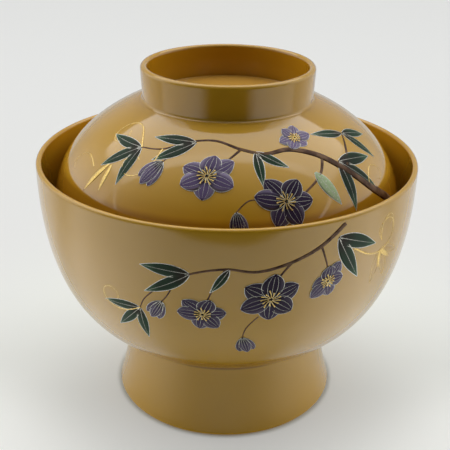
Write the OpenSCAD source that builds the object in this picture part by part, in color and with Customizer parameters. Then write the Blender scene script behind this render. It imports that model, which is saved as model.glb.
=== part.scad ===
// Lacquered soup bowl with a domed lid that drops inside the rim.
// Every piece is turned, so each one is a closed outline spun about the Z axis.
// Millimetres. The origin is the middle of the foot's resting ring, on the table.

/* [Bowl] */
// Outer diameter of the bowl at the rim
rim_d = 120; // [108:1:132]
// Height of the rim above the table
rim_h = 84; // [76:1:92]
// Thickness of the rounded lip
lip_t = 1.8; // [1.4:0.1:2.4]
// Height of the upright band below the lip, before the wall starts to curve in
band_h = 0.5; // [0.2:0.1:4]
// Wood left in the middle of the bowl's floor, above the foot's recess
floor_t = 5.9; // [4:0.1:8]
// How early the outside leaves the upright: 2 is an ellipse, higher is later
side_power = 2.33; // [2:0.01:2.8]
// How full the outside is towards the foot: 2 is an ellipse, higher is fuller
belly_power = 3.72; // [3.2:0.01:4.4]
// How early the inside leaves the upright
hollow_side_power = 1.4; // [1.3:0.01:1.6]
// How full the inside is towards the floor
hollow_floor_power = 5.77; // [5:0.01:6.5]

/* [Foot] */
// Height of the foot ring, from the table to its glued seam
foot_h = 24; // [18:0.5:28]
// Outer diameter of the foot at its widest, just above its resting edge
foot_d = 74; // [71:0.2:80]
// Outer diameter of the foot at its seam under the bowl
neck_d = 66.6; // [60:0.2:69]
// Wall of the foot ring
foot_wall = 3.8; // [3:0.1:5]
// Rounding of the foot's resting edges
foot_edge_r = 0.7; // [0.4:0.1:1]
// Width of the cove that leads the bowl's curve into the seam
cove_w = 1; // [0.6:0.1:1.6]
// How far below the seam the bowl's outer curve would bottom out
curve_sink = 2; // [1.4:0.1:3]
// Height of the tenon that centres the foot ring
tenon_h = 1.4; // [0.8:0.1:3]

/* [Lid] */
// Depth of the lid's edge below the rim
lid_seat_depth = 21.5; // [17:0.5:24]
// Thickness of the lid's rounded edge and skirt
lid_edge_t = 2; // [1.6:0.1:2.6]
// Upright skirt between the lid's edge and the spring of its dome
skirt_h = 5.35; // [3:0.05:8]
// Height that the dome would reach above its spring without the flat on top
dome_h = 40; // [36:0.5:44]
// How early the dome leaves the upright
dome_side_power = 2.33; // [2:0.01:2.6]
// How full the dome is towards its top
dome_top_power = 1.62; // [1.5:0.01:1.9]
// Wood left in the middle of the lid
crown_t = 3.6; // [2.8:0.1:5]
// How early the inside of the dome leaves the upright
vault_side_power = 1.95; // [1.8:0.01:2.2]
// How full the inside of the dome is towards its top
vault_top_power = 3.3; // [2.8:0.01:3.6]

/* [Lid ring] */
// Outer diameter of the grip ring at its lip
ring_d = 53.8; // [48:0.2:58]
// Height of the grip ring above its seam
ring_h = 10.6; // [7:0.1:13]
// Thickness of the grip ring's rounded lip
ring_t = 2.2; // [1.8:0.1:3]
// How much narrower the ring is at its seam than at its lip, on the radius
ring_taper = 0.45; // [0:0.05:1]
// Radius of the small toe that spreads the ring onto the dome
toe_r = 0.9; // [0.5:0.1:1.4]
// Height of the disc that centres the ring and floors its recess
crown_disc_h = 0.5; // [0.3:0.1:1]

/* [Fit] */
// Clearance between the lid's edge and the inside of the bowl
lid_gap = 0.3; // [0.2:0.05:0.5]
// Glue line between a turned spigot and the ring around it
glue_gap = 0.1; // [0.05:0.05:0.15]

/* [Hidden] */
$fn = 144;

// Steps along a long curve, a rounded edge and a small cove
curve_steps = 34;
edge_steps = 10;
cove_steps = 6;

rim_r = rim_d / 2;
lip_r = lip_t / 2;
neck_r = neck_d / 2;
foot_r = foot_d / 2;

// Outside of the bowl: widest just under the lip, then one curve down to the cove
belly_z = rim_h - lip_r - band_h;
belly_drop = belly_z - (foot_h - curve_sink);

// Inside of the bowl
hollow_r = rim_r - lip_t;
hollow_z = rim_h - lip_r;
tenon_r = neck_r - foot_wall - glue_gap;
underside_z = foot_h - tenon_h;
floor_z = underside_z + floor_t;
hollow_drop = hollow_z - floor_z;

// Foot ring: its side is one hollow arc, upright at the seam and widest at the rounded edge
foot_side_h = foot_h - foot_edge_r;
foot_flare = foot_r - neck_r;
foot_arc_r = (foot_side_h * foot_side_h + foot_flare * foot_flare) / (2 * foot_flare);

// Lid: its edge seats where the bowl's inside has narrowed to it
edge_r = lid_edge_t / 2;
edge_z = rim_h - lid_seat_depth;
lid_r = hollow_radius(edge_z) - lid_gap;
spring_z = edge_z + skirt_h;
ring_r = ring_d / 2;
ring_foot_r = ring_r - ring_taper;
ring_seat_r = ring_foot_r + toe_r;
ring_seat_z = spring_z + curve_drop(ring_seat_r, lid_r, dome_h, dome_side_power, dome_top_power);
crown_disc_r = ring_foot_r - ring_t - glue_gap;
crown_z = ring_seat_z + crown_disc_h;
vault_r = lid_r - lid_edge_t;
vault_h = crown_z - crown_t - spring_z;

// A full curve, as a turner's template: [radius, distance from its widest level] at angle a
function curve_point(a, r, h, side, end) = [r * pow(cos(a), 2 / end), h * pow(sin(a), 2 / side)];
// Its radius at distance d from the widest level, and its distance at radius x
function curve_radius(d, r, h, side, end) = r * pow(1 - pow(d / h, side), 1 / end);
function curve_drop(x, r, h, side, end) = h * pow(1 - pow(x / r, end), 1 / side);
// The angle at which the curve has radius x
function curve_angle(x, r, end) = acos(pow(x / r, end / 2));
function hollow_radius(z) = curve_radius(hollow_z - z, hollow_r, hollow_drop, hollow_side_power, hollow_floor_power);

// Points along an arc, both ends included
function arc(x, z, r, from, to, steps) =
    [for (i = [0:steps]) let (a = from + (to - from) * i / steps) [x + r * cos(a), z + r * sin(a)]];

// A quarter-like bend from a to b that leaves a towards c and reaches b from c
function bend(a, c, b, steps) =
    [for (i = [0:steps]) let (t = i / steps) (1 - t) * (1 - t) * a + 2 * t * (1 - t) * c + t * t * b];

// Outside of the bowl from the band down to the cove, then the cove down to the seam
cove_r = neck_r + cove_w;
cove_a = curve_angle(cove_r, rim_r, belly_power);
cove_z = belly_z - curve_drop(cove_r, rim_r, belly_drop, side_power, belly_power);
cove_step_z = belly_z - curve_drop(cove_r + cove_w, rim_r, belly_drop, side_power, belly_power);
cove_turn_z = max(foot_h, cove_z - (cove_step_z - cove_z));
function bowl_outside() = concat(
    [for (i = [0:curve_steps])
        let (p = curve_point(cove_a * i / curve_steps, rim_r, belly_drop, side_power, belly_power))
        [p[0], belly_z - p[1]]],
    bend([cove_r, cove_z], [neck_r, cove_turn_z], [neck_r, foot_h], cove_steps));

// Inside of the bowl, from the middle of the floor up to the lip
function bowl_inside() =
    [for (i = [curve_steps:-1:1])
        let (p = curve_point(90 * i / curve_steps, hollow_r, hollow_drop, hollow_side_power, hollow_floor_power))
        [i == curve_steps ? 0 : p[0], hollow_z - p[1]]];

// The hollow side of the foot ring, from its seam down to its rounded edge, moved in by inset
function foot_side(inset) =
    [for (i = [0:curve_steps])
        let (d = foot_side_h * i / curve_steps)
        [neck_r - inset + foot_arc_r - sqrt(foot_arc_r * foot_arc_r - d * d), foot_h - d]];

module spin(outline) rotate_extrude() polygon(outline);

// The turned bowl: an open shell with a rounded lip, and a tenon below for its foot
module bowl_body() {
    color("#b5935f")
    spin(concat(
        arc(rim_r - lip_r, rim_h - lip_r, lip_r, 180, 0, edge_steps),
        bowl_outside(),
        [[tenon_r, foot_h], [tenon_r, underside_z], [0, underside_z]],
        bowl_inside()));
}

// The flared foot ring, glued up to the bowl around its tenon
module bowl_foot() {
    inside = foot_side(foot_wall);
    color("#ac8a56")
    spin(concat(
        [for (p = foot_side(0)) if (p[1] > foot_edge_r) p],
        arc(foot_r - foot_edge_r, foot_edge_r, foot_edge_r, 0, -90, edge_steps),
        arc(foot_r - foot_wall + foot_edge_r, foot_edge_r, foot_edge_r, 270, 180, edge_steps),
        [for (i = [curve_steps - 1:-1:0]) inside[i]]));
}

// The domed lid: its rounded edge drops inside the bowl, its flat crown carries the ring
module lid_body() {
    seat_a = curve_angle(ring_seat_r, lid_r, dome_top_power);
    color("#b99863")
    spin(concat(
        [[0, crown_z], [crown_disc_r, crown_z], [crown_disc_r, ring_seat_z]],
        [for (i = [curve_steps:-1:0])
            let (p = curve_point(seat_a * i / curve_steps, lid_r, dome_h, dome_side_power, dome_top_power))
            [p[0], spring_z + p[1]]],
        arc(lid_r - edge_r, edge_z, edge_r, 0, -180, edge_steps),
        [for (i = [0:curve_steps])
            let (p = curve_point(90 * i / curve_steps, vault_r, vault_h, vault_side_power, vault_top_power))
            [i == curve_steps ? 0 : p[0], spring_z + p[1]]]));
}

// The grip ring: a short wall, wider at its rounded lip, with a small toe on the dome
module lid_ring() {
    top_z = ring_seat_z + ring_h;
    mid_r = ring_t / 2;
    color("#b5935f")
    spin(concat(
        arc(ring_r - mid_r, top_z - mid_r, mid_r, 180, 0, edge_steps),
        arc(ring_seat_r, ring_seat_z + toe_r, toe_r, 180, 270, cove_steps),
        [[ring_foot_r - ring_t, ring_seat_z]]));
}

bowl_body();
bowl_foot();
lid_body();
lid_ring();
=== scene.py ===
# %% [markdown]
# # A lacquer soup bowl with its lid
# The bowl is a Japanese wan: turned wood under many thin coats of ochre lacquer, with a flower
# drawn across it in coloured lacquer and metal powder. The solids come from the CAD frame. This
# lesson gives them their finish: finer turned skins, the lacquer, the drawing and the light.

# %% The frame
import math
import bpy
from mathutils import Matrix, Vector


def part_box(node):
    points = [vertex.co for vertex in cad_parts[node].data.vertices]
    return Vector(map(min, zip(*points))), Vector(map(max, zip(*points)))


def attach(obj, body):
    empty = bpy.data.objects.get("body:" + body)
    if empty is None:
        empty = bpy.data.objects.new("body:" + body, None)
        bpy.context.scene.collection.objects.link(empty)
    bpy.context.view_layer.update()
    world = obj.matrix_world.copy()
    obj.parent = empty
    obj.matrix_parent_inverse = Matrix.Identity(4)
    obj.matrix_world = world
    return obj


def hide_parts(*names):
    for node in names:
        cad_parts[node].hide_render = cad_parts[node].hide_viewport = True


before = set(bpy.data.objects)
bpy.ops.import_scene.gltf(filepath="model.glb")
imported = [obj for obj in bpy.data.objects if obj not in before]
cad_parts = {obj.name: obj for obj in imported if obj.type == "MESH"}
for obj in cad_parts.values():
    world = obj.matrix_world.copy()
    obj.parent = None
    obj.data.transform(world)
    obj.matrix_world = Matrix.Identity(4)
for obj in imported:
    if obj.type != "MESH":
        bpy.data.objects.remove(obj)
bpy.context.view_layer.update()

scene = bpy.context.scene
scene.view_settings.view_transform = "Standard"
MM = 0.001

# %% [markdown]
# A few helpers serve the whole lesson. Colours are written as sRGB hex values, because that is how a
# maker reads them off a swatch, and Blender wants them linear. Node trees are built in code, so one
# function adds a node, sets its options, fills its inputs with a value or with a link, and gives
# back its outputs.

# %% Helpers for colours, objects and nodes
def colour(code):
    """The linear RGBA of an sRGB hex value such as "#a07038"."""
    channels = [int(code[i:i + 2], 16) / 255 for i in (1, 3, 5)]
    return [c / 12.92 if c <= 0.04045 else ((c + 0.055) / 1.055) ** 2.4 for c in channels] + [1.0]


def add(tree, kind, inputs=None, **settings):
    """The outputs of a new node in a tree, with its options set and its inputs filled or linked."""
    node = tree.nodes.new(kind)
    for name, value in settings.items():
        setattr(node, name, value)
    for key, value in (inputs or {}).items():
        if isinstance(value, bpy.types.NodeSocket):
            tree.links.new(value, node.inputs[key])
        else:
            node.inputs[key].default_value = value
    return node.outputs


def put(name, data):
    """A new object in the scene."""
    thing = bpy.data.objects.new(name, data)
    scene.collection.objects.link(thing)
    return thing


def chained(tree, operation, values):
    """One operation over any number of values, from the first to the last."""
    result = values[0]
    for value in values[1:]:
        result = add(tree, "ShaderNodeMath", {0: result, 1: value}, operation=operation)[0]
    return result


def product(tree, *values):
    return chained(tree, "MULTIPLY", values)


def total(tree, *values):
    return chained(tree, "ADD", values)


print("Ochre in linear light:", [round(c, 3) for c in colour("#b5935f")[:3]])

# %% [markdown]
# The camera comes first, because everything is judged through it. The photograph looks down on the
# bowl from a little above its lid, from near enough that the rim's ellipse opens towards the eye.
# Its lens, distance and tilt were worked out from the ellipses of the rim, ring and foot.

# %% Camera
FILM_PX = 450
focal_px = 830
centre_px = 226.15
sensor = 36.0
camera_back = 250.9 * MM
camera_up = 174.3 * MM
look_down = math.radians(24.94)
lean = math.radians(0.72)

camera_data = bpy.data.cameras.new("camera")
camera_data.sensor_width = sensor
camera_data.lens = focal_px / FILM_PX * sensor
camera_data.shift_x = (FILM_PX / 2 - centre_px) / FILM_PX
camera = put("camera", camera_data)
aim = Matrix.Rotation(math.pi / 2 - look_down, 4, "X") @ Matrix.Rotation(lean, 4, "Z")
camera.matrix_world = Matrix.Translation((0, -camera_back, camera_up)) @ aim
scene.camera = camera
print("Camera lens in mm:", round(camera_data.lens, 1))

# %% [markdown]
# Every piece is turned, so each is one outline spun about the Z axis. The outlines follow the
# turner's templates of the CAD model: a full curve that leaves the upright late or early by one
# power, and closes over the middle by another. The overall sizes are read from the frame.

# %% Sizes of the turned pieces
def turned_size(node):
    """The greatest radius, the lowest level and the highest level of a turned piece."""
    low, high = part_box(node)
    return max(high.x, high.y, -low.x, -low.y), low.z, high.z


rim_r, underside_z, rim_z = turned_size("bowl_body")
foot_r, table_z, seam_z = turned_size("bowl_foot")
lid_r, lid_low_z, crown_z = turned_size("lid_body")
ring_toe_r, ring_seat_z, ring_top_z = turned_size("lid_ring")

lip_r = 0.9 * MM
band_h = 0.5 * MM
floor_t = 5.9 * MM
bowl_powers = (2.33, 3.72)
hollow_powers = (1.4, 5.77)
neck_r = 33.3 * MM
foot_wall = 3.8 * MM
foot_edge_r = 0.7 * MM
cove_w = 1 * MM
CREASE = 0.45 * MM
CREASE_CLEAR = 1.1 * CREASE
curve_sink = 2 * MM
glue_gap = 0.1 * MM
lid_edge_r = 1 * MM
skirt_h = 5.35 * MM
dome_h = 40 * MM
dome_powers = (2.33, 1.62)
crown_t = 3.6 * MM
vault_powers = (1.95, 3.3)
ring_lip_r = 1.1 * MM
ring_taper = 0.45 * MM
toe_r = 0.9 * MM
print("Rim, foot and lid radii in mm:", [round(r / MM, 2) for r in (rim_r, foot_r, lid_r)])

# %% Template curves
CURVE_STEPS = 90
EDGE_STEPS = 14
COVE_STEPS = 8


def curve_point(a, r, h, powers):
    """A template's point at angle a: its radius, and its distance from the widest level."""
    side, end = powers
    return r * max(0.0, math.cos(a)) ** (2 / end), h * math.sin(a) ** (2 / side)


def curve(end_angle, r, h, powers):
    """A template's points from its widest level to an angle."""
    return [curve_point(end_angle * i / CURVE_STEPS, r, h, powers) for i in range(CURVE_STEPS + 1)]


def curve_drop(x, r, h, powers):
    side, end = powers
    return h * (1 - (x / r) ** end) ** (1 / side)


def curve_angle(x, r, powers):
    return math.acos((x / r) ** (powers[1] / 2))


def arc(x, z, r, start, end, steps=EDGE_STEPS):
    """Points along an arc whose centre is at radius x and level z, with its angles in degrees."""
    angles = [math.radians(start + (end - start) * i / steps) for i in range(steps + 1)]
    return [(x + r * math.cos(a), z + r * math.sin(a)) for a in angles]


def bend(a, c, b, steps):
    """A bend that leaves a towards c and reaches b from c."""
    shares = [i / steps for i in range(steps + 1)]
    return [tuple((1 - t) ** 2 * p + 2 * t * (1 - t) * q + t * t * s for p, q, s in zip(a, c, b))
            for t in shares]


# %% Outlines of the bowl and its foot
belly_z = rim_z - lip_r - band_h
belly_drop = belly_z - (seam_z - curve_sink)
hollow_r = rim_r - 2 * lip_r
hollow_z = rim_z - lip_r
hollow_drop = hollow_z - (underside_z + floor_t)
tenon_r = neck_r - foot_wall - glue_gap
cove_r = neck_r + cove_w
cove_a = curve_angle(cove_r, rim_r, bowl_powers)


def bowl_level(x):
    return belly_z - curve_drop(x, rim_r, belly_drop, bowl_powers)


def bowl_outside():
    """From the band under the lip down to the cove, and round the cove to the seam."""
    side = curve(cove_a, rim_r, belly_drop, bowl_powers)
    turn_z = max(seam_z, 2 * bowl_level(cove_r) - bowl_level(cove_r + cove_w))
    cove = bend((cove_r, bowl_level(cove_r)), (neck_r, turn_z), (neck_r, seam_z), COVE_STEPS)
    crease = [(neck_r, seam_z + CREASE), (neck_r - CREASE, seam_z)]
    above = [(r, z) for r, z in cove[1:] if z > seam_z + CREASE_CLEAR]
    return [(r, belly_z - d) for r, d in side] + above + crease


def bowl_outline():
    """From the middle of the floor up, over the lip, down the outside and in under the tenon."""
    inside = curve(math.pi / 2, hollow_r, hollow_drop, hollow_powers)[:0:-1]
    return ([(r if i else 0, hollow_z - d) for i, (r, d) in enumerate(inside)]
            + arc(rim_r - lip_r, hollow_z, lip_r, 180, 0) + bowl_outside()
            + [(tenon_r, seam_z), (tenon_r, underside_z), (0, underside_z)])


def foot_outline():
    """The foot's hollow side is one arc, upright at the seam, and its inside is the same arc."""
    side_h = seam_z - table_z - foot_edge_r
    flare = foot_r - neck_r
    arc_r = (side_h ** 2 + flare ** 2) / (2 * flare)
    drops = [side_h * i / CURVE_STEPS for i in range(CURVE_STEPS)]
    side = [(neck_r + arc_r - math.sqrt(arc_r ** 2 - d ** 2), seam_z - d) for d in drops if d > CREASE_CLEAR]
    low_z = table_z + foot_edge_r
    return ([(neck_r - CREASE, seam_z), (neck_r, seam_z - CREASE)] + side
            + arc(foot_r - foot_edge_r, low_z, foot_edge_r, 0, -90)
            + arc(foot_r - foot_wall + foot_edge_r, low_z, foot_edge_r, 270, 180)
            + [(r - foot_wall, z) for r, z in reversed(side)] + [(neck_r - foot_wall, seam_z)])


print("Points in the outlines of bowl and foot:", len(bowl_outline()), len(foot_outline()))

# %% Outlines of the lid and its ring
edge_z = lid_low_z + lid_edge_r
spring_z = edge_z + skirt_h
ring_foot_r = ring_toe_r - toe_r
ring_r = ring_foot_r + ring_taper
ring_hole_r = ring_foot_r - 2 * ring_lip_r
crown_disc_r = ring_hole_r - glue_gap
vault_r = lid_r - 2 * lid_edge_r
vault_h = crown_z - crown_t - spring_z
toe_a = curve_angle(ring_toe_r, lid_r, dome_powers)


def dome_side():
    """From the ring's toe down to the spring of the dome."""
    return [(r, spring_z + d) for r, d in reversed(curve(toe_a, lid_r, dome_h, dome_powers))]


def lid_outline():
    vault = curve(math.pi / 2, vault_r, vault_h, vault_powers)
    return ([(0, crown_z), (crown_disc_r, crown_z), (crown_disc_r, ring_seat_z)] + dome_side()
            + arc(lid_r - lid_edge_r, edge_z, lid_edge_r, 0, -180)
            + [(r if i < CURVE_STEPS else 0, spring_z + d) for i, (r, d) in enumerate(vault)])


def ring_outline():
    lip_z = ring_top_z - ring_lip_r
    return (arc(ring_r - ring_lip_r, lip_z, ring_lip_r, 180, 0)
            + arc(ring_toe_r, ring_seat_z + toe_r, toe_r, 180, 270, COVE_STEPS)
            + [(ring_hole_r, ring_seat_z)])


print("Points in the outlines of lid and ring:", len(lid_outline()), len(ring_outline()))

# %% [markdown]
# A lathe is a rule: every point of the outline goes once round the axis. That suits Geometry Nodes
# better than a hand-made mesh. The tree lays a grid with one column for each point of the outline,
# turns each row about Z, and merges where the grid meets itself and where it meets the axis. Edges
# that fold more than a given angle stay sharp, and the rest are shaded smooth.

# %% The lathe tree
def new_tree(name, sockets):
    """An empty Geometry Nodes tree with a geometry input and output and the named inputs given."""
    tree = bpy.data.node_groups.new(name, "GeometryNodeTree")
    tree.interface.new_socket("Geometry", in_out="INPUT", socket_type="NodeSocketGeometry")
    for label, kind in sockets.items():
        tree.interface.new_socket(label, in_out="INPUT", socket_type="NodeSocket" + kind)
    tree.interface.new_socket("Geometry", in_out="OUTPUT", socket_type="NodeSocketGeometry")
    return tree, add(tree, "NodeGroupInput")


def end_tree(tree, geometry, finish):
    """Every tree ends alike: instances made real, then the finish set."""
    real = add(tree, "GeometryNodeRealizeInstances", {"Geometry": geometry})[0]
    skin = add(tree, "GeometryNodeSetMaterial", {"Geometry": real, "Material": finish})[0]
    tree.links.new(skin, tree.nodes.new("NodeGroupOutput").inputs[0])


def lathe_tree():
    tree, given = new_tree("lathe", {"Sides": "Int", "Sharp Angle": "Float", "Merge Distance": "Float",
                                     "Finish": "Material"})
    outline = given["Geometry"]
    points = add(tree, "GeometryNodeAttributeDomainSize", {"Geometry": outline})["Point Count"]
    around = total(tree, given["Sides"], 1.0)
    grid = add(tree, "GeometryNodeMeshGrid", {"Vertices X": points, "Vertices Y": around})["Mesh"]
    index = add(tree, "GeometryNodeInputIndex")[0]
    share = add(tree, "ShaderNodeMath", {0: index, 1: around}, operation="DIVIDE")[0]
    column = add(tree, "ShaderNodeMath", {0: share}, operation="FLOOR")[0]
    row = add(tree, "ShaderNodeMath", {0: index, 1: product(tree, column, around)}, operation="SUBTRACT")[0]
    turn = add(tree, "ShaderNodeMath", {0: product(tree, row, math.tau), 1: given["Sides"]},
               operation="DIVIDE")[0]
    point = add(tree, "GeometryNodeInputPosition")[0]
    place = add(tree, "GeometryNodeSampleIndex", {"Geometry": outline, "Value": point, "Index": column},
                data_type="FLOAT_VECTOR")[0]
    turned = add(tree, "ShaderNodeVectorRotate", {"Vector": place, "Angle": turn}, rotation_type="Z_AXIS")[0]
    shell = add(tree, "GeometryNodeSetPosition", {"Geometry": grid, "Position": turned})[0]
    shade = add(tree, "GeometryNodeInputNamedAttribute", {"Name": "shade"})[0]
    shade = add(tree, "GeometryNodeSampleIndex", {"Geometry": outline, "Value": shade, "Index": column})[0]
    shaded = add(tree, "GeometryNodeStoreNamedAttribute",
                 {"Geometry": shell, "Name": "shade", "Value": shade})[0]
    closed = add(tree, "GeometryNodeMergeByDistance",
                 {"Geometry": shaded, "Distance": given["Merge Distance"]})[0]
    angle = add(tree, "GeometryNodeInputMeshEdgeAngle")["Unsigned Angle"]
    folded = add(tree, "ShaderNodeMath", {0: angle, 1: given["Sharp Angle"]}, operation="GREATER_THAN")[0]
    smooth = add(tree, "GeometryNodeSetShadeSmooth", {"Geometry": closed})[0]
    sharp = add(tree, "GeometryNodeSetShadeSmooth",
                {"Geometry": smooth, "Selection": folded, "Shade Smooth": False}, domain="EDGE")[0]
    end_tree(tree, sharp, given["Finish"])
    return tree


LATHE = lathe_tree()
print("Nodes in the lathe tree:", len(LATHE.nodes))

# %% Running a tree and keeping its mesh
def run_tree(name, start, tree, values):
    """A plain mesh object made by a tree from a starting mesh. Inputs are set by identifier."""
    holder = put(name + "_holder", start)
    modifier = holder.modifiers.new("tree", "NODES")
    modifier.node_group = tree
    named = {item.name: item.identifier for item in tree.interface.items_tree if item.in_out == "INPUT"}
    for label, value in values.items():
        modifier[named[label]] = value
    depsgraph = bpy.context.evaluated_depsgraph_get()
    mesh = bpy.data.meshes.new_from_object(holder.evaluated_get(depsgraph), depsgraph=depsgraph)
    holder.modifiers.remove(modifier)
    bpy.data.objects.remove(holder)
    mesh.name = name
    mesh.calc_loop_triangles()
    print(f"{name}: {len(mesh.vertices)} points, {len(mesh.loop_triangles)} triangles")
    return put(name, mesh)


def marked_mesh(name, verts, edges=(), faces=(), marks=None):
    """A mesh whose points carry named values."""
    mesh = bpy.data.meshes.new(name)
    mesh.from_pydata(verts, list(edges), list(faces))
    for label, values in (marks or {}).items():
        mesh.attributes.new(label, "FLOAT", "POINT").data.foreach_set("value", values)
    return mesh


def standing(outline):
    """An outline's points, standing up in the plane of X and Z, and the edges that join them."""
    return [(r, 0, z) for r, z in outline], [(i, i + 1) for i in range(len(outline) - 1)]


SIDES = 256
SHARP = math.radians(35)
MERGE = 0.0005 * MM


def turn_piece(name, outline, closed, finish, shade):
    """One turned piece. An outline that leaves the axis free is closed on itself. How much painted shade
    and painted light the lacquer carries at a point follows from its place in the outline."""
    points = outline + ([outline[0]] if closed else [])
    shades = [shade(i, r, z) for i, (r, z) in enumerate(points)]
    line = marked_mesh(name + "_outline", *standing(points), marks={"shade": shades})
    return run_tree(name, line, LATHE, {"Sides": SIDES, "Sharp Angle": SHARP, "Merge Distance": MERGE,
                                        "Finish": finish})


# %% [markdown]
# Urushi is the sap of the lacquer tree, brushed on in thin coats and polished between them. The
# ochre pigment sits in the middle coats and a clear coat lies over it. To the eye that is a warm,
# saturated body under a thin hard gloss: dark reflections leave the colour deep, and pale ones lay
# a milky veil on it. So the body is a rough dielectric and the gloss is a coat of its own.

# %% Lacquer
def finish(name, **values):
    """A material for one surface, with constants set on the shader's own sockets."""
    material = bpy.data.materials.new(name)
    material.use_nodes = True
    tree = material.node_tree
    skin = tree.nodes["Principled BSDF"]
    for label, value in values.items():
        skin.inputs[label.replace("_", " ")].default_value = value
    return material, tree, skin.inputs["Base Color"]


def speckle(tree, size, detail=3.0):
    """A noise whose blotches are as large as a real size."""
    place = add(tree, "ShaderNodeTexCoord")["Object"]
    return add(tree, "ShaderNodeTexNoise", {"Vector": place, "Scale": 1 / size, "Detail": detail})["Fac"]


def zone(tree, measures, **ramps):
    """1 where every measure is past the end of its ramp, 0 where one is short of its start. A ramp is
    smooth and may run downwards."""
    steps = []
    for name, (start, end) in ramps.items():
        step = add(tree, "ShaderNodeMapRange",
                   {"Value": measures[name], "From Min": start, "From Max": end},
                   interpolation_type="SMOOTHSTEP")
        steps.append(step[0])
    return product(tree, *steps)


def over(tree, ground, *layers):
    """Colours laid over a ground one after the other, each by its own share."""
    for share, paint in layers:
        ground = add(tree, "ShaderNodeMix", {0: share, 6: ground, 7: paint}, data_type="RGBA")[2]
    return ground


def relief(tree, heights, depth):
    """Heights from 0 to 1 stand out by a real depth, in the body and in the clear coat."""
    bump = add(tree, "ShaderNodeBump", {"Height": heights, "Distance": depth})[0]
    for label in ("Normal", "Coat Normal"):
        tree.links.new(bump, tree.nodes["Principled BSDF"].inputs[label])


DRIFT = 30 * MM
WAVE = 12 * MM
WAVE_DEPTH = 0.08 * MM
OCHRE = "#c7971f"
PALE_OCHRE = "#cd9d25"
# Painted light and painted shade on the lacquer: paler in the ring's recess, darker in the hollow, the vault,
# below the rim and under the belly, and darkest in the crease.
PAINTED_LIGHT_OCHRE = "#d8a64c"
PAINTED_SHADE_OCHRE = "#9c6c12"
DEEPEST_PAINTED_SHADE_OCHRE = "#4f3204"


def lacquer(name, body_rough, gloss_rough):
    """Brushed and polished ochre lacquer. The pigment drifts a little over a few centimetres. Painted
    shade darkens it where shade is 1 and darkens it further where shade is 2, and painted light makes
    it paler where shade is -1. The clear coat keeps a faint waviness of the brush, about 12 mm long,
    which makes the edges of a reflection swim a little."""
    material, tree, base = finish(name, Roughness=body_rough, IOR=1.5, Specular_IOR_Level=0.2,
                                  Coat_Weight=1.0, Coat_Roughness=gloss_rough, Coat_IOR=1.5)
    shade = add(tree, "ShaderNodeAttribute", attribute_name="shade")["Fac"]
    ground = over(tree, colour(OCHRE), (speckle(tree, DRIFT), colour(PALE_OCHRE)))
    for ramp, code in (((0.0, 1.0), PAINTED_SHADE_OCHRE), ((1.0, 2.0), DEEPEST_PAINTED_SHADE_OCHRE), ((0.0, -1.0), PAINTED_LIGHT_OCHRE)):
        ground = over(tree, ground, (zone(tree, {"shade": shade}, shade=ramp), colour(code)))
    tree.links.new(ground, base)
    relief(tree, speckle(tree, WAVE, 0.0), WAVE_DEPTH)
    return material


LID_LACQUER = lacquer("polished_ochre_lacquer", 0.12, 0.04)
BOWL_LACQUER = lacquer("satin_ochre_lacquer", 0.25, 0.07)
print("Lacquers:", LID_LACQUER.name, "and", BOWL_LACQUER.name)

# %% Where the lacquer carries painted shade and painted light
SEAM_FADE = 1.6 * MM
HOLLOW_FADE = 8 * MM
BELLY_START = 14 * MM
BELLY_FADE = 6 * MM
COVER_START = 0.6 * MM
COVER_FADE = 2.6 * MM
COVERED_SHADE = 0.75
RING_INSIDE_SHADE = 0.5
RECESS_POINTS = 2
DOME_POINTS = CURVE_STEPS + 4


def foot_shade(i, r, z):
    """Painted shade in the crease under the bowl, darkest at the seam."""
    return 2 * max(0.0, 1 - (seam_z - z) / SEAM_FADE)


def bowl_shade(i, r, z):
    """Painted shade in the hollow and under the belly, darkest down at the crease."""
    if i < CURVE_STEPS:
        return min(1.0, (hollow_z - z) / HOLLOW_FADE)
    return min(2.0, max(0.0, (seam_z + BELLY_START - z) / BELLY_FADE))


def lid_shade(i, r, z):
    """Painted light in the ring's recess, which is paler. Painted shade in the vault and below the rim."""
    if i < RECESS_POINTS:
        return -1.0
    if i >= DOME_POINTS and r < lid_r - lid_edge_r:
        return 1.0
    return min(COVERED_SHADE, max(0.0, (rim_z - COVER_START - z) / COVER_FADE))


def ring_shade(i, r, z):
    """Painted shade on the inside of the ring, a little darker."""
    return RING_INSIDE_SHADE if r < ring_r - 1.9 * ring_lip_r else 0.0


print("Shade half way down the hollow's fade:", bowl_shade(0, 0, hollow_z - HOLLOW_FADE / 2))

# %% The four turned pieces
bowl = turn_piece("bowl_skin", bowl_outline(), False, BOWL_LACQUER, bowl_shade)
foot = turn_piece("foot_skin", foot_outline(), True, BOWL_LACQUER, foot_shade)
lid = turn_piece("lid_skin", lid_outline(), False, LID_LACQUER, lid_shade)
ring = turn_piece("ring_skin", ring_outline(), True, LID_LACQUER, ring_shade)
for piece, body, node in ((bowl, "bowl", "bowl_body"), (foot, "bowl", "bowl_foot"),
                          (lid, "lid", "lid_body"), (ring, "lid", "lid_ring")):
    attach(piece, body)
    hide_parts(node)

# %% [markdown]
# The picture is a clematis vine, an old subject of lacquer painting, in a layout of its own. On a
# real bowl each motif is painted with coloured lacquer and its lines are drawn in wet lacquer and
# dusted with silver or gold powder, so everything stands a few hundredths of a millimetre proud.
# The drawing is made flat, as on the painter's transfer paper, and then laid on the wall by rule: x
# goes round the wall, y runs up its curve and z stands off it. Each motif is laid round its own
# root, so that it keeps its width wherever it sits.

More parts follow.
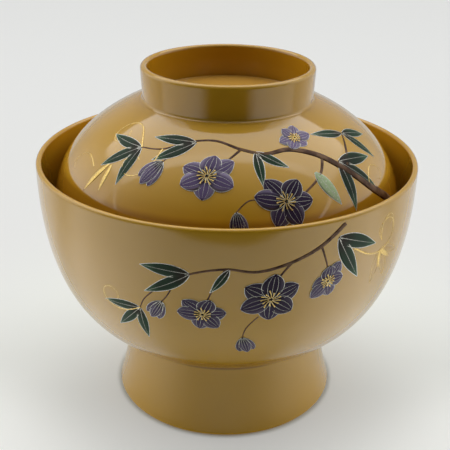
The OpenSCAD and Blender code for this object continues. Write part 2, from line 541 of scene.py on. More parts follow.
# %% Laying a flat drawing on a turned wall
def wrap(tree, geometry, given, root_name):
    """Flat places become places on the wall. The guide is the wall's outline from its top down."""
    flat = add(tree, "ShaderNodeSeparateXYZ", {0: add(tree, "GeometryNodeInputPosition")[0]})
    root = add(tree, "GeometryNodeInputNamedAttribute", {"Name": root_name}, data_type="FLOAT_VECTOR")[0]
    root = add(tree, "ShaderNodeSeparateXYZ", {0: root})["X"]
    outline = add(tree, "GeometryNodeObjectInfo", {"Object": given["Guide"]})["Geometry"]
    rail = add(tree, "GeometryNodeMeshToCurve", {"Mesh": outline})[0]
    depth = product(tree, flat["Y"], -1.0)
    met = add(tree, "GeometryNodeSampleCurve", {"Curves": rail, "Length": depth}, mode="LENGTH")
    wall = add(tree, "ShaderNodeSeparateXYZ", {0: met["Position"]})
    way = add(tree, "ShaderNodeSeparateXYZ", {0: met["Tangent"]})
    radius = add(tree, "ShaderNodeMath", {0: wall["X"], 1: product(tree, flat["Z"], way["Z"])},
                 operation="SUBTRACT")[0]
    level = total(tree, wall["Z"], product(tree, flat["Z"], way["X"]))
    off = add(tree, "ShaderNodeMath", {0: flat["X"], 1: root}, operation="SUBTRACT")[0]
    beside = add(tree, "ShaderNodeMath", {0: off, 1: wall["X"]}, operation="DIVIDE")[0]
    around = add(tree, "ShaderNodeMath", {0: root, 1: given["Reference Radius"]}, operation="DIVIDE")[0]
    turn = total(tree, around, beside, -math.pi / 2)
    place = add(tree, "ShaderNodeCombineXYZ", {0: radius, 2: level})[0]
    turned = add(tree, "ShaderNodeVectorRotate", {"Vector": place, "Angle": turn}, rotation_type="Z_AXIS")[0]
    laid = add(tree, "GeometryNodeSetPosition", {"Geometry": geometry, "Position": turned})[0]
    return add(tree, "GeometryNodeSetShadeSmooth", {"Geometry": laid})[0]


BRUSH_SIDES = 6


def strokes(tree, geometry, given):
    """A flattened stroke along every path, with half its width given at each point as girth."""
    path = add(tree, "GeometryNodeMeshToCurve", {"Mesh": geometry})[0]
    curved = add(tree, "GeometryNodeCurveSplineType", {"Curve": path}, spline_type="CATMULL_ROM")[0]
    even = add(tree, "GeometryNodeResampleCurve", {"Curve": curved, "Length": given["Step"]},
               mode="LENGTH")[0]
    place = add(tree, "GeometryNodeInputPosition")[0]
    known = add(tree, "GeometryNodeStoreNamedAttribute", {"Geometry": even, "Name": "path", "Value": place},
                data_type="FLOAT_VECTOR")[0]
    brush = add(tree, "GeometryNodeCurvePrimitiveCircle", {"Resolution": BRUSH_SIDES, "Radius": 1.0})
    girth = add(tree, "GeometryNodeInputNamedAttribute", {"Name": "girth"})[0]
    tube = add(tree, "GeometryNodeCurveToMesh",
               {"Curve": known, "Profile Curve": brush["Curve"], "Scale": girth, "Fill Caps": True})[0]
    flat = add(tree, "ShaderNodeSeparateXYZ", {0: place})
    middle = add(tree, "GeometryNodeInputNamedAttribute", {"Name": "path"}, data_type="FLOAT_VECTOR")[0]
    base = add(tree, "ShaderNodeSeparateXYZ", {0: middle})["Z"]
    above = add(tree, "ShaderNodeMath", {0: flat["Z"], 1: base}, operation="SUBTRACT")[0]
    level = total(tree, base, product(tree, above, given["Flatness"]))
    place = add(tree, "ShaderNodeCombineXYZ", {0: flat["X"], 1: flat["Y"], 2: level})[0]
    return add(tree, "GeometryNodeSetPosition", {"Geometry": tube, "Position": place})[0]


def motifs(tree, given):
    """The motif at every layout point, turned, sized and curled as that point says."""
    spots = add(tree, "GeometryNodeMeshToPoints", {"Mesh": given["Geometry"]})[0]
    root = add(tree, "GeometryNodeInputPosition")[0]
    rooted = add(tree, "GeometryNodeStoreNamedAttribute", {"Geometry": spots, "Name": "root", "Value": root},
                 data_type="FLOAT_VECTOR")[0]
    motif = add(tree, "GeometryNodeObjectInfo", {"Object": given["Motif"]})["Geometry"]
    turn, reach, breadth, curl, along = (
        add(tree, "GeometryNodeInputNamedAttribute", {"Name": name})[0]
        for name in ("turn", "reach", "breadth", "curl", "along"))
    facing = add(tree, "ShaderNodeCombineXYZ", {2: turn})[0]
    heading = add(tree, "FunctionNodeEulerToRotation", {0: facing})[0]
    size = add(tree, "ShaderNodeCombineXYZ", {0: reach, 1: breadth, 2: 1.0})[0]
    placed = add(tree, "GeometryNodeInstanceOnPoints",
                 {"Points": rooted, "Instance": motif, "Rotation": heading, "Scale": size})[0]
    real = add(tree, "GeometryNodeRealizeInstances", {"Geometry": placed})[0]
    push = product(tree, curl, along, along)
    sine, cosine = (add(tree, "ShaderNodeMath", {0: turn}, operation=name)[0] for name in ("SINE", "COSINE"))
    back = product(tree, push, sine, -1.0)
    bent = add(tree, "ShaderNodeCombineXYZ", {0: back, 1: product(tree, push, cosine)})[0]
    return add(tree, "GeometryNodeSetPosition", {"Geometry": real, "Offset": bent})[0]


def painting_tree(name, laid, drawn):
    """A tree that lays motifs at points or takes paths as they are, and strokes them if drawn."""
    sockets = {"Guide": "Object", "Reference Radius": "Float", "Finish": "Material"}
    sockets |= {"Motif": "Object"} if laid else {}
    sockets |= {"Step": "Float", "Flatness": "Float"} if drawn else {}
    tree, given = new_tree(name, sockets)
    shape = motifs(tree, given) if laid else given["Geometry"]
    shape = strokes(tree, shape, given) if drawn else shape
    end_tree(tree, wrap(tree, shape, given, "root" if laid else "path"), given["Finish"])
    return tree


FILLED = painting_tree("filled_motifs", True, False)
DRAWN = painting_tree("drawn_motifs", True, True)
TRAIL = painting_tree("trails", False, True)
print("Nodes in the painting trees:", [len(tree.nodes) for tree in (FILLED, DRAWN, TRAIL)])

# %% Guides and flat places
LID_REFERENCE = 45 * MM
BOWL_REFERENCE = 58 * MM
scratch = []


def helper(name, *shape, **more):
    """A temporary object. All of these go once the drawing is laid."""
    thing = put(name, marked_mesh(name, *shape, **more))
    scratch.append(thing)
    return thing


lid_wall = dome_side() + [(lid_r, edge_z)]
lid_guide = helper("lid_guide", *standing(lid_wall))
bowl_guide = helper("bowl_guide", *standing(bowl_outside()))


def chains(name, lines):
    """Paths as loose edges. A point gives its flat place, its half width and its share of the length."""
    verts = [point[:3] for line in lines for point in line]
    edges = []
    for line in lines:
        first = edges[-1][1] + 1 if edges else 0
        edges += [(first + i, first + i + 1) for i in range(len(line) - 1)]
    marks = {"girth": [p[3] for line in lines for p in line], "along": [p[4] for line in lines for p in line]}
    return helper(name, verts, edges, marks=marks)


print("Points on the guides:", len(lid_wall), len(bowl_outside()))

# %% [markdown]
# A petal or a leaf is the same kind of blade: its half width follows one curve along its length, and
# it rises a little in the middle, as thick lacquer does when it settles. It is a closed slab sunk
# slightly into the ground. Its lines are drawn apart from it, as edges to be stroked, so that they
# keep their width however the blade is stretched.

# %% Motifs
EDGE = 0.02 * MM
SINK = 0.06 * MM
LEAF_LINE = 0.1 * MM
PETAL_LINE = 0.07 * MM
VEIN = 0.05 * MM
THREAD_LIFT = 0.2 * MM
DAB = 0.26 * MM
DAB_LIFT = 0.1 * MM
END_SHARE = 0.01
UNDERCUT_SHARE = 0.9
EDGE_SHARES = (0.02, 0.99)
VEIN_SHARES = (0.06, 0.9)
PETAL = (0.8, 0.75, 0.08 * MM)
LEAF = (0.85, 1.15, 0.07 * MM)


def half_width(t, base, tip):
    """Half the width of a blade along its length, 1 at its widest. Greater powers narrow that end."""
    peak = base / (base + tip)
    return (t / peak) ** base * ((1 - t) / (1 - peak)) ** tip


def blade(name, base, tip, rise, sections=14, sides=6):
    """A petal or leaf of unit length and half width, lying along x from its root."""
    across = [2 * j / sides - 1 for j in range(sides + 1)]
    shares = [END_SHARE + (1 - 2 * END_SHARE) * i / sections for i in range(sections + 1)]
    verts = []
    for t in shares:
        w = half_width(t, base, tip)
        verts += [(t, u * w, EDGE + rise * w * (1 - u * u)) for u in across]
        verts += [(t, u * w, -SINK) for u in (UNDERCUT_SHARE, -UNDERCUT_SHARE)]
    ring = sides + 3
    faces = [(i * ring + j, (i + 1) * ring + j, (i + 1) * ring + (j + 1) % ring, i * ring + (j + 1) % ring)
             for i in range(sections) for j in range(ring)]
    faces += [tuple(range(ring)), tuple(reversed(range(sections * ring, (sections + 1) * ring)))]
    marks = {"along": [t for t in shares for _ in range(ring)],
             "edge": [e for _ in shares for e in [abs(u) for u in across] + [1.0, 1.0]]}
    return helper(name, verts, faces=faces, marks=marks)


def blade_lines(name, base, tip, rise, edge_line, veins, steps=10):
    """Both edges of a blade, and veins at given shares of its half width."""
    lines = []
    for u in (-1.0, 1.0, *veins):
        first, last = EDGE_SHARES if abs(u) == 1 else VEIN_SHARES
        line = []
        for i in range(steps + 1):
            t = first + (last - first) * i / steps
            w = half_width(t, base, tip)
            girth = edge_line if abs(u) == 1 else VEIN * (1.3 - 0.8 * t)
            line.append((t, u * w, EDGE + rise * w * (1 - u * u), girth, t))
        lines.append(line)
    return chains(name, lines)


def stamens(name, count):
    """Threads that spread from the middle of a flower and thicken at their ends."""
    lines = []
    for i in range(count):
        a = math.tau * i / count
        reach = 0.86 + 0.14 * math.sin(2.6 * i)
        line = []
        for t, girth in ((0.2, 0.1), (0.6, 0.09), (1, 0.24)):
            x, y = t * reach * math.cos(a + 0.3 * t), t * reach * math.sin(a + 0.3 * t)
            line.append((x, y, THREAD_LIFT, girth * MM, 0.0))
        lines.append(line)
    return chains(name, lines)


def grains_on_leaf(name, count):
    """Short thick dabs scattered over a leaf."""
    lines = []
    for i in range(count):
        t = 0.16 + 0.66 * i / (count - 1)
        y = 0.5 * half_width(t, *LEAF[:2]) * math.sin(2.4 * i)
        lines.append([(x, y, DAB_LIFT, DAB, t) for x in (t, t + 0.02)])
    return chains(name, lines)


petal = blade("petal", *PETAL)
petal_lines = blade_lines("petal_lines", *PETAL, PETAL_LINE, (-0.45, 0.0, 0.45))
leaf = blade("leaf", *LEAF)
leaf_lines = blade_lines("leaf_lines", *LEAF, LEAF_LINE, (0.0,))
threads = stamens("threads", 13)
grains = grains_on_leaf("grains", 13)
print("Motifs:", [thing.name for thing in (petal, petal_lines, leaf, leaf_lines, threads, grains)])

# %% [markdown]
# The layout follows how a clematis grows. One woody stem comes over the wall and thins out as it
# goes. Shoots leave it for the flowers and the buds, leaves hang in threes, and the ends turn into
# tendrils. Places are given as an angle round the wall from the front and a depth below its top.

# %% Rules of growth
def at(reference, angle, depth, lift=0.0):
    """The flat place at an angle in degrees and a depth in mm."""
    return math.radians(angle) * reference, -depth * MM, lift * MM


def spot(place, turn, reach, breadth, curl=0.0, shade=0.0, lift=0.0):
    """One motif: its root, its heading in degrees, its sizes in mm and how pale it is."""
    x, y, z = place
    return (x, y, z + lift * MM), math.radians(turn), reach * MM, breadth * MM, curl * MM, shade


def flower(place, radius, turn, lean, squash, shade):
    """Six petals round a root. The flower faces away along its lean, so petals that way look short."""
    rows = []
    for k in range(6):
        a = math.radians(turn + 60 * k + 5 * math.sin(4 * k + turn))
        x, y = math.cos(a), squash * math.sin(a)
        spread = math.hypot(x, y)
        heading = math.degrees(math.atan2(y, x)) + lean
        reach = radius * spread * (0.95 + 0.05 * math.sin(5 * k + turn))
        rows.append(spot(place, heading, reach, radius * (0.4 - 0.07 * spread), 0.8 * math.sin(3 * k + 1),
                         shade + 0.08 * math.sin(5 * k), 0.1 + 0.05 * (k % 2)))
    return rows


def bud(place, heading, length, shade):
    """Three petals folded over each other, the middle one on top."""
    return [spot(place, heading + side * 12, length * size, length * 0.22, side * 0.6,
                 shade + 0.1 * side, lift)
            for side, size, lift in ((-1, 0.9, 0.1), (1, 0.92, 0.1), (0, 1.0, 0.15))]


def leaves(place, headings, length, shade):
    """Narrow leaves in a fan from one place, the second one the longest."""
    return [spot(place, heading, length * (1.1 - 0.08 * abs(i - 1)), length * 0.135,
                 1.2 * math.sin(heading), shade) for i, heading in enumerate(headings)]


def flower_middles(flowers):
    """The places and sizes of the stamens in a list of flowers."""
    return [spot(place, 0, radius * 0.36, radius * 0.33, lift=0.1) for place, radius, *_ in flowers]


def tendril(place, heading, length, coil, girth, steps=26):
    """A thread that leaves at a heading and turns ever tighter, by coil degrees in all."""
    x, y, z = place
    line = []
    for i in range(steps + 1):
        t = i / steps
        line.append((x, y, z, girth * (1 - 0.6 * t) * MM, t))
        a = math.radians(heading + coil * t * t)
        x += math.cos(a) * length * MM / steps
        y += math.sin(a) * length * MM / steps
    return line


def stem(reference, points):
    """A woody path through angles and depths, with its half width in mm at each of them."""
    last = len(points) - 1
    return [(*at(reference, angle, depth), girth * MM, i / last)
            for i, (angle, depth, girth) in enumerate(points)]


# %% The lid's layout
def on_lid(angle, depth):
    return at(LID_REFERENCE, angle, depth)


# Flowers higher on the lid are paler: partly their own tone, partly painted reflection of the ceiling's milky
# veil on the upper lid.
lid_flowers = [(on_lid(-7, 19), 8.6, 20, 10, 0.82, 0.55), (on_lid(19, 27), 8.8, 5, -10, 0.9, 0.12),
               (on_lid(33, 8), 5.8, 40, 20, 0.75, 0.85)]
lid_petal_rows = [row for given in lid_flowers for row in flower(*given)]
lid_petal_rows += bud(on_lid(-25, 16), -118, 9, 0.5) + bud(on_lid(3, 29), -80, 6.5, 0.1)
lid_leaf_rows = (leaves(on_lid(46, 19), (-8, -50, -95), 15, 0.15)
                 + leaves(on_lid(12, 11), (-42, -88), 10.5, 0.3)
                 + leaves(on_lid(-14, 8), (178, -140), 13, 0.2)
                 + leaves(on_lid(-38, 13), (-178, -138, -98), 13, 0.3)
                 + leaves(on_lid(62, 12), (-20, -66, 160), 12, 0.35))
lid_mint_leaf = spot(on_lid(33, 20), -70, 12, 2.0, 0.8, 1.0)
lid_leaf_rows += [lid_mint_leaf]
lid_stems = [stem(LID_REFERENCE, points) for points in (
    ((69, 41, 1.6), (63, 36, 1.5), (55, 30, 1.4), (47, 22, 1.2), (38, 15, 1.0), (27, 11.5, 0.8),
     (16, 12, 0.6), (6, 10, 0.5), (-5, 7, 0.4), (-17, 8, 0.35), (-28, 12, 0.28), (-38, 13, 0.2)),
    ((40, 16, 0.5), (35, 21, 0.4), (27, 25, 0.3), (22, 27, 0.25)),
    ((30, 12, 0.4), (32, 10, 0.3), (33, 8, 0.25)),
    ((6, 10, 0.4), (0, 14, 0.3), (-4, 17, 0.25)),
    ((-17, 8, 0.35), (-22, 12, 0.3), (-25, 16, 0.2)),
    ((48, 22, 0.6), (56, 16, 0.4), (62, 12, 0.25)),
    ((12, 26, 0.25), (7, 26, 0.2), (3, 29, 0.2)))]
lid_threads = flower_middles(lid_flowers)
lid_tendrils = [tendril(on_lid(-38, 13), 128, 34, 400, 0.28), tendril(on_lid(-28, 12), -95, 26, -330, 0.24),
                tendril(on_lid(54, 30), 60, 18, -300, 0.24), tendril(on_lid(-54, 24), 150, 16, 200, 0.25)]
lid_gold_rows = [spot(on_lid(-47, 21), -120, 12, 1.0, 1.0), spot(on_lid(-46, 21), -82, 9, 0.8, -0.8)]
print("On the lid:", len(lid_petal_rows), "petals and", len(lid_leaf_rows), "leaves")

# %% The bowl's layout
def on_bowl(angle, depth):
    return at(BOWL_REFERENCE, angle, depth)


bowl_flowers = [(on_bowl(12, 20), 9.2, 10, 15, 0.88, 0.12), (on_bowl(-6, 25), 7.4, 30, -20, 0.8, 0.3),
                (on_bowl(28, 17), 6.8, 0, 50, 0.65, 0.45)]
bowl_petal_rows = [row for given in bowl_flowers for row in flower(*given)]
bowl_petal_rows += bud(on_bowl(5, 34), -75, 7.5, 0.35) + bud(on_bowl(-17, 22), -120, 7.5, 0.4)
bowl_leaf_rows = (leaves(on_bowl(-9, 12), (176, -146), 14, 0.25)
                  + leaves(on_bowl(-24, 26), (-172, -132, -92), 12, 0.4)
                  + leaves(on_bowl(30, 4), (-22, -62), 16, 0.3) + leaves(on_bowl(1, 10), (-120,), 9, 0.3))
bowl_stems = [stem(BOWL_REFERENCE, points) for points in (
    ((32, 0.3, 0.7), (25, 5.5, 0.6), (17, 9, 0.5), (8, 11, 0.42), (0, 10, 0.36), (-9, 12, 0.32),
     (-17, 17, 0.26), (-22, 22, 0.2), (-24, 26, 0.16)),
    ((17, 9, 0.4), (14, 13, 0.3), (12, 17, 0.25)), ((0, 10, 0.3), (-3, 16, 0.25), (-5, 21, 0.2)),
    ((25, 5.5, 0.35), (27, 11, 0.25), (28, 15, 0.2)), ((-13, 14, 0.25), (-15, 19, 0.2), (-17, 22, 0.2)),
    ((9, 26, 0.2), (6, 30, 0.2), (5, 34, 0.2)))]
bowl_threads = flower_middles(bowl_flowers)
bowl_tendrils = [tendril(on_bowl(36, 9), -35, 36, 380, 0.28), tendril(on_bowl(-24, 26), -150, 26, -380, 0.22),
                 tendril(on_bowl(47, 10), 100, 14, -260, 0.22)]
bowl_gold_rows = leaves(on_bowl(47, 13), (-14, -58, -100), 11, 0.0)
bowl_leaf_gold_rows = [spot(on_bowl(47, 13), -36, 8, 0.9), spot(on_bowl(47, 13), -80, 7, 0.8)]
print("On the bowl:", len(bowl_petal_rows), "petals and", len(bowl_leaf_rows), "leaves")

# %% [markdown]
# The motifs are painted with coloured lacquer: violet that pales towards its rim, where the painter
# wiped it thin, a green that is nearly black in the middle of a leaf, and a brown for old wood. The
# lines are metal powder dusted on wet lacquer, so they glint without being a mirror.

# %% Finishes of the drawing
PAINT = {"Roughness": 0.4, "IOR": 1.5, "Specular_IOR_Level": 0.05,
         "Coat_Weight": 0.14, "Coat_Roughness": 0.08}
WOOD_MOTTLE = 3 * MM
GRAIN = 0.25 * MM


def motif_marks(tree):
    """What the points of a motif carry: how pale it is, how far along they are and how near its edge."""
    return {name: add(tree, "ShaderNodeAttribute", attribute_name=name)["Fac"]
            for name in ("shade", "along", "edge")}


def wiped_rim(tree, marks, most):
    """The share of paler colour on a rim wiped thin, which is greater in a pale motif."""
    strength = add(tree, "ShaderNodeMix", {0: marks["shade"], 2: 0.05, 3: most})[0]
    return product(tree, zone(tree, marks, edge=(0.4, 1.0)), strength)


def violet_lacquer(name):
    """Deep violet that pales to lavender at the rim, and the more so in a pale flower."""
    material, tree, base = finish(name, **PAINT)
    marks = motif_marks(tree)
    root = zone(tree, marks, along=(0.5, 0.1))
    body = over(tree, colour("#1c0c28"), (marks["shade"], colour("#7a6a94")),
                (wiped_rim(tree, marks, 0.8), colour("#a9a0b2")), (root, colour("#140818")))
    tree.links.new(body, base)
    return material


def green_lacquer(name):
    """Blackish green, wine red at the root, greyer towards the rim, and mint on the palest leaf."""
    material, tree, base = finish(name, **PAINT)
    marks = motif_marks(tree)
    tip = add(tree, "ShaderNodeMath", {0: marks["shade"], 1: zone(tree, marks, along=(0.5, 1.0))},
              operation="MAXIMUM")[0]
    root = product(tree, zone(tree, marks, along=(0.45, 0.1)), 0.7)
    palest = zone(tree, marks, shade=(0.8, 0.95))
    body = over(tree, colour("#0b160d"), (tip, colour("#3d6447")), (root, colour("#2c0d10")),
                (wiped_rim(tree, marks, 0.4), colour("#587a5c")), (palest, colour("#a9bd92")))
    tree.links.new(body, base)
    return material


def mottled(tree, size, ramp, dark, light, detail=3.0):
    """Two colours in blotches of a real size, which run into each other over a ramp of the noise."""
    share = zone(tree, {"noise": speckle(tree, size, detail)}, noise=ramp)
    return over(tree, colour(dark), (share, colour(light)))


def brown_lacquer(name):
    """Old wood in two browns that run into each other."""
    material, tree, base = finish(name, **PAINT)
    tree.links.new(mottled(tree, WOOD_MOTTLE, (0.35, 0.65), "#4a3020", "#7d5f45"), base)
    return material


def metal_powder(name, light, dark, rough):
    """Metal powder on lacquer: bright grains with duller ground between them."""
    material, tree, base = finish(name, Metallic=1.0, Roughness=rough)
    tree.links.new(mottled(tree, GRAIN, (0.35, 0.6), dark, light, 1.0), base)
    return material


VIOLET = violet_lacquer("violet_lacquer")
GREEN = green_lacquer("green_lacquer")
BROWN = brown_lacquer("brown_lacquer")
SILVER = metal_powder("silver_powder", "#dcdcd2", "#a8a79b", 0.4)
GOLD = metal_powder("gold_powder", "#f0d488", "#c09a4a", 0.36)
print("Finishes:", [m.name for m in (VIOLET, GREEN, BROWN, SILVER, GOLD)])

# %% [markdown]
# Each kind of motif on a body becomes one piece, in one finish. Woody stems lie flatter than the
# fine lines. The guides and the layouts are only patterns, and go at the end.

# %% The drawing laid on lid and bowl
def layout(name, rows):
    """Layout points that carry each motif's turn, sizes, curl and paleness."""
    marks = {label: [row[i] for row in rows]
             for i, label in enumerate(("turn", "reach", "breadth", "curl", "shade"), start=1)}
    return helper(name, [row[0] for row in rows], marks=marks).data


STEP = 0.5 * MM
FLATNESS = 0.35
STEM_FLATNESS = 0.12


def lay(name, body, start, tree, coat, **more):
    """One piece of the drawing, riding on the lid or the bowl."""
    wall, reference = (lid_guide, LID_REFERENCE) if body == "lid" else (bowl_guide, BOWL_REFERENCE)
    values = {"Guide": wall, "Reference Radius": reference, "Finish": coat}
    values |= {"Step": STEP, "Flatness": FLATNESS} if tree is not FILLED else {}
    piece = run_tree(f"{body}_{name}", start, tree, values | more)
    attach(piece, body)


for body, petals, blades, shoots, centres, curls in (
        ("lid", lid_petal_rows, lid_leaf_rows, lid_stems, lid_threads, lid_tendrils),
        ("bowl", bowl_petal_rows, bowl_leaf_rows, bowl_stems, bowl_threads, bowl_tendrils)):
    petal_spots = layout(body + "_petal_spots", petals)
    leaf_spots = layout(body + "_leaf_spots", blades)
    middles = layout(body + "_centres", centres)
    shoot_paths = chains(body + "_shoots", shoots).data
    lay("petals", body, petal_spots, FILLED, VIOLET, Motif=petal)
    lay("petal_lines", body, petal_spots, DRAWN, SILVER, Motif=petal_lines)
    lay("leaves", body, leaf_spots, FILLED, GREEN, Motif=leaf)
    lay("leaf_lines", body, leaf_spots, DRAWN, SILVER, Motif=leaf_lines)
    lay("stamens", body, middles, DRAWN, GOLD, Motif=threads)
    lay("stems", body, shoot_paths, TRAIL, BROWN, Flatness=STEM_FLATNESS)
    lay("tendrils", body, chains(body + "_curls", curls).data, TRAIL, GOLD)
for name, body, rows, tree, coat, motif in (
        ("gold_leaf_lines", "bowl", bowl_gold_rows, DRAWN, GOLD, leaf_lines),
        ("gold_leaves", "bowl", bowl_leaf_gold_rows, FILLED, GOLD, leaf),
        ("gold_leaves", "lid", lid_gold_rows, FILLED, GOLD, leaf),
        ("leaf_grains", "lid", [lid_mint_leaf], DRAWN, SILVER, grains)):
    lay(name, body, layout(f"{body}_{name}_spots", rows), tree, coat, Motif=motif)

for thing in scratch:
    bpy.data.objects.remove(thing)

# %% [markdown]
# Lacquer is a mirror with colour under it, so the room matters as much as the pigment. The bowl
# stands on white paper in a pale room, under a long ceiling panel with one brighter tube. The walls
# beside it are pale, the wall behind it is duller, and it is dark in front, where the camera stands.
# All of that is far away, so it is painted on the world by direction. Mirrored rays see it as it is.
# Soft rays see brighter walls, a bright band low on both sides and a darker front, which stands for
# the light that paper and walls pass on. The camera itself sees plain paper to the horizon.

# %% A soft bar of light
def bar(tree, plane, start, end, width, end_blur, side_blur):
    """A soft-edged bar between two places on a plane: 1 on the bar, 0 off it."""
    length = math.dist(start, end)
    angle = math.atan2(end[1] - start[1], end[0] - start[0])
    local = add(tree, "ShaderNodeMapping",
                {"Vector": plane, "Location": (*start, 0), "Rotation": (0, 0, angle)},
                vector_type="TEXTURE")[0]
    place = add(tree, "ShaderNodeSeparateXYZ", {0: local})
    off = add(tree, "ShaderNodeMath", {0: place["Y"]}, operation="ABSOLUTE")[0]
    return zone(tree, {"start": place["X"], "end": place["X"], "off": off}, start=(-end_blur, end_blur),
                end=(length + end_blur, length - end_blur),
                off=(width / 2 + side_blur, width / 2 - side_blur))


# %% Room light
LEFT_WALL = 1.4
RIGHT_WALL = 1.12
BACK_WALL = 0.4
LOW_SIDE = 1.5
FRONT_CEILING = 1.05
FRONT_REACH = 0.38
FRONT_SPREAD = 0.5
SOFT_FRONT = 0.4
SOFT_WALL = 1.3
SOFT_ROOM = 1.12
CEILING = 1.95
TUBE = 2.5
SIDE_TUBE = 1.5
HORIZON = 0.02
SKY = colour("#e1e1df")
# Both ends of each bar on a plane at height 1, its width, the blur of its ends and sides, its level
BARS = (((-1.4, 0.57), (1.3, 0.57), 1.16, 0.15, 0.03, CEILING),
        ((-1.06, 0.08), (0.7, 0.08), 0.1, 0.08, 0.04, TUBE),
        ((-1.2, 0.25), (-3.6, -0.82), 0.12, 0.1, 0.05, SIDE_TUBE),
        ((1.5, -0.06), (3.1, -1.7), 0.15, 0.1, 0.05, SIDE_TUBE))

world = bpy.data.worlds.new("room")
scene.world = world
world.use_nodes = True
tree = world.node_tree
way = add(tree, "ShaderNodeSeparateXYZ", {0: add(tree, "ShaderNodeTexCoord")["Generated"]})
height = add(tree, "ShaderNodeMath", {0: way["Z"], 1: HORIZON}, operation="MAXIMUM")[0]
across = add(tree, "ShaderNodeMath", {0: way["X"], 1: height}, operation="DIVIDE")[0]
along = add(tree, "ShaderNodeMath", {0: way["Y"], 1: height}, operation="DIVIDE")[0]
plane = add(tree, "ShaderNodeCombineXYZ", {0: across, 1: along})[0]
rays = add(tree, "ShaderNodeLightPath")
mirrored = rays["Is Glossy Ray"]
beside = add(tree, "ShaderNodeMath", {0: way["X"]}, operation="ABSOLUTE")[0]
facing = {"right": way["X"], "beside": beside, "back": way["Y"], "up": way["Z"], "along": along}

soft_wall = add(tree, "ShaderNodeMix", {0: mirrored, 2: SOFT_WALL, 3: 1.0})[0]
walls = BACK_WALL
for ramp, level in (((0.5, 1.0), RIGHT_WALL), ((-0.55, -1.0), LEFT_WALL)):
    share = zone(tree, facing, right=ramp)
    walls = add(tree, "ShaderNodeMix", {0: share, 2: walls, 3: product(tree, soft_wall, level)})[0]
low = zone(tree, facing, beside=(0.35, 0.75), up=(0.25, 0.05), back=(-0.15, 0.25))
soft_low = add(tree, "ShaderNodeMix", {0: mirrored, 2: LOW_SIDE, 3: 0.0})[0]
walls = total(tree, walls, product(tree, low, soft_low))

# The front fades towards the horizon. Its exponent is held back where it would grow, at the back
aside = add(tree, "ShaderNodeMath", {0: across}, operation="ABSOLUTE")[0]
spread = total(tree, product(tree, aside, FRONT_SPREAD), 1.0)
depth = add(tree, "ShaderNodeMath", {0: along, 1: product(tree, spread, FRONT_REACH)}, operation="DIVIDE")[0]
held = add(tree, "ShaderNodeMath", {0: depth, 1: 1.0}, operation="MINIMUM")[0]
fade = add(tree, "ShaderNodeMath", {0: held}, operation="EXPONENT")[0]
soft_front = add(tree, "ShaderNodeMix", {0: mirrored, 2: SOFT_FRONT, 3: 1.0})[0]
front = product(tree, fade, FRONT_CEILING, soft_front)
glow = add(tree, "ShaderNodeMix", {0: zone(tree, facing, along=(-0.1, 0.1)), 2: front, 3: walls})[0]
for *shape, level in BARS:
    glow = add(tree, "ShaderNodeMix", {0: bar(tree, plane, *shape), 2: glow, 3: level})[0]
soft_room = add(tree, "ShaderNodeMix", {0: mirrored, 2: SOFT_ROOM, 3: 1.0})[0]
room = over(tree, product(tree, glow, soft_room), (rays["Is Camera Ray"], SKY))
tree.links.new(room, tree.nodes["Background"].inputs["Color"])
print("Nodes in the room's light:", len(tree.nodes))

# %% [markdown]
# The paper is seen in three ways. The camera sees it run evenly into the colour of the sky, with a
# soft shadow round the foot. The gloss mirrors paper that is darkened far in front by painted shade,
# and glows at both sides. Soft light comes off it most at both sides and close by.

# %% Paper floor
HALF = 3.0
PAPER = colour("#bcc0b7")
BACK_PAPER = colour("#bebebb")
SEEN_PAPER = colour("#bfc0be")
# Painted light: near the bowl the paper carries a tint of bounce light from the ochre.
BOUNCE_TINTED_PAPER = colour("#c4c8c3")
FAR_PAPER = colour("#b8b9b7")
# Painted shade far in front of the bowl, seen by the gloss and by soft light.
PAINTED_SHADE_PAPER = colour("#272727")

corners = [(x * HALF, y * HALF, 0) for x, y in ((-1, -1), (1, -1), (1, 1), (-1, 1))]
floor = put("floor", marked_mesh("floor", corners, faces=[(0, 1, 2, 3)]))
paper, tree, base = finish("white_paper", Roughness=0.8, Specular_IOR_Level=0.0,
                           Emission_Color=colour("#ffffff"))
floor.data.materials.append(paper)
rays = add(tree, "ShaderNodeLightPath")
seen = rays["Is Camera Ray"]
mirrored = rays["Is Glossy Ray"]

# Measures on the paper: mm ahead of the bowl, mm from its axis, and how much of that is sideways
where = add(tree, "ShaderNodeTexCoord")["Object"]
place = add(tree, "ShaderNodeSeparateXYZ", {0: where})
ahead = product(tree, place["Y"], -1 / MM)
length = add(tree, "ShaderNodeVectorMath", {0: where}, operation="LENGTH")["Value"]
reach = product(tree, length, 1 / MM)
sideways = add(tree, "ShaderNodeMath", {0: place["X"]}, operation="ABSOLUTE")[0]
away = add(tree, "ShaderNodeMath", {0: reach, 1: 10.0}, operation="MAXIMUM")[0]
side = add(tree, "ShaderNodeMath", {0: product(tree, sideways, 1 / MM), 1: away}, operation="DIVIDE")[0]
spots = {"ahead": ahead, "reach": reach, "far": reach, "side": side}


def here(**ramps):
    return zone(tree, spots, **ramps)


lit = add(tree, "ShaderNodeMath", {0: here(ahead=(224, 200)), 1: here(side=(0.33, 0.66))},
          operation="MAXIMUM")[0]
# Near the bowl the seen paper takes the painted tint of bounce light from the ochre.
open_paper = over(tree, SEEN_PAPER, (here(reach=(160, 60)), BOUNCE_TINTED_PAPER), (here(reach=(300, 950)), FAR_PAPER))
lit_paper = over(tree, PAPER, (mirrored, open_paper))
# Far in front, away from the sides, the gloss and soft light see painted shade on the paper.
shade = over(tree, PAINTED_SHADE_PAPER, (lit, lit_paper), (here(ahead=(-40, -120)), BACK_PAPER), (seen, open_paper))
tree.links.new(shade, base)
print("Nodes in the paper's colour:", len(tree.nodes))

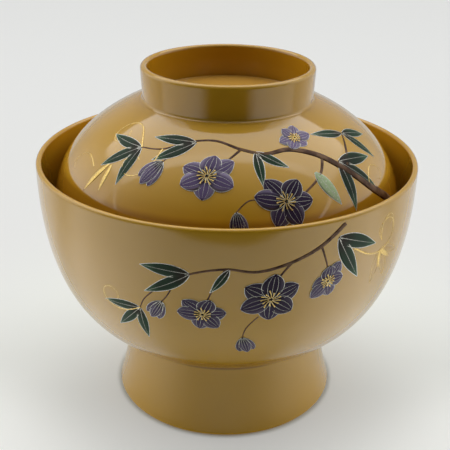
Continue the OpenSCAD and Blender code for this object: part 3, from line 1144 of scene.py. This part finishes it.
# %% The paper's own glow
SEEN_LIFT = 0.25
OPEN_LIFT = 0.13
FAR_LIFT = 0.01
FRONT_LIFT = 0.085
MIRROR_LIFT = 0.2
SIDE_GLOW = 0.88
MIRROR_GLOW = 0.5
NEAR_GLOW = 0.42
BEHIND_GLOW = 0.16
foot_mm = foot_r / MM

# For the camera: open paper, paper in front, and the thin shadow where the foot stands
open_lift = product(tree, here(ahead=(-10, 30)), OPEN_LIFT)
open_lift = add(tree, "ShaderNodeMix", {0: here(reach=(90, 160)), 2: open_lift, 3: FAR_LIFT})[0]
open_lift = product(tree, here(reach=(50, 85)), open_lift)
contact = product(tree, here(reach=(foot_mm - 0.5, foot_mm + 2)), SEEN_LIFT)
front_lift = product(tree, here(ahead=(10, 45), reach=(110, 55)), FRONT_LIFT)
lift = total(tree, open_lift, contact, front_lift)

# For soft light: both sides and close by in front
flanks = {"side": (0.35, 0.9), "ahead": (-30, 50)}
far_flank = product(tree, here(**flanks, reach=(50, 130), far=(600, 150)), SIDE_GLOW)
near = product(tree, here(reach=(90, 55), ahead=(0, 30)), NEAR_GLOW)
bounce = total(tree, far_flank, near)

# For the gloss: lit paper in front, both sides, and both sides behind
contact = add(tree, "ShaderNodeMath", {0: here(reach=(42, 75)), 1: here(side=(0.35, 0.8))},
              operation="MAXIMUM")[0]
sheen = total(tree, product(tree, here(reach=(80, 150)), MIRROR_LIFT), product(tree, contact, SEEN_LIFT))
sheen = product(tree, sheen, lit, here(ahead=(-40, 20)))
flank = product(tree, here(**flanks, reach=(30, 80), far=(600, 100)), MIRROR_GLOW)
behind = product(tree, here(side=(0.35, 0.75), ahead=(0, -60), far=(600, 300)), BEHIND_GLOW)
sheen = total(tree, sheen, flank, behind)

unseen = add(tree, "ShaderNodeMix", {0: mirrored, 2: bounce, 3: sheen})[0]
glow = add(tree, "ShaderNodeMix", {0: seen, 2: unseen, 3: lift})[0]
tree.links.new(glow, tree.nodes["Principled BSDF"].inputs["Emission Strength"])
print("Nodes in the paper:", len(tree.nodes))
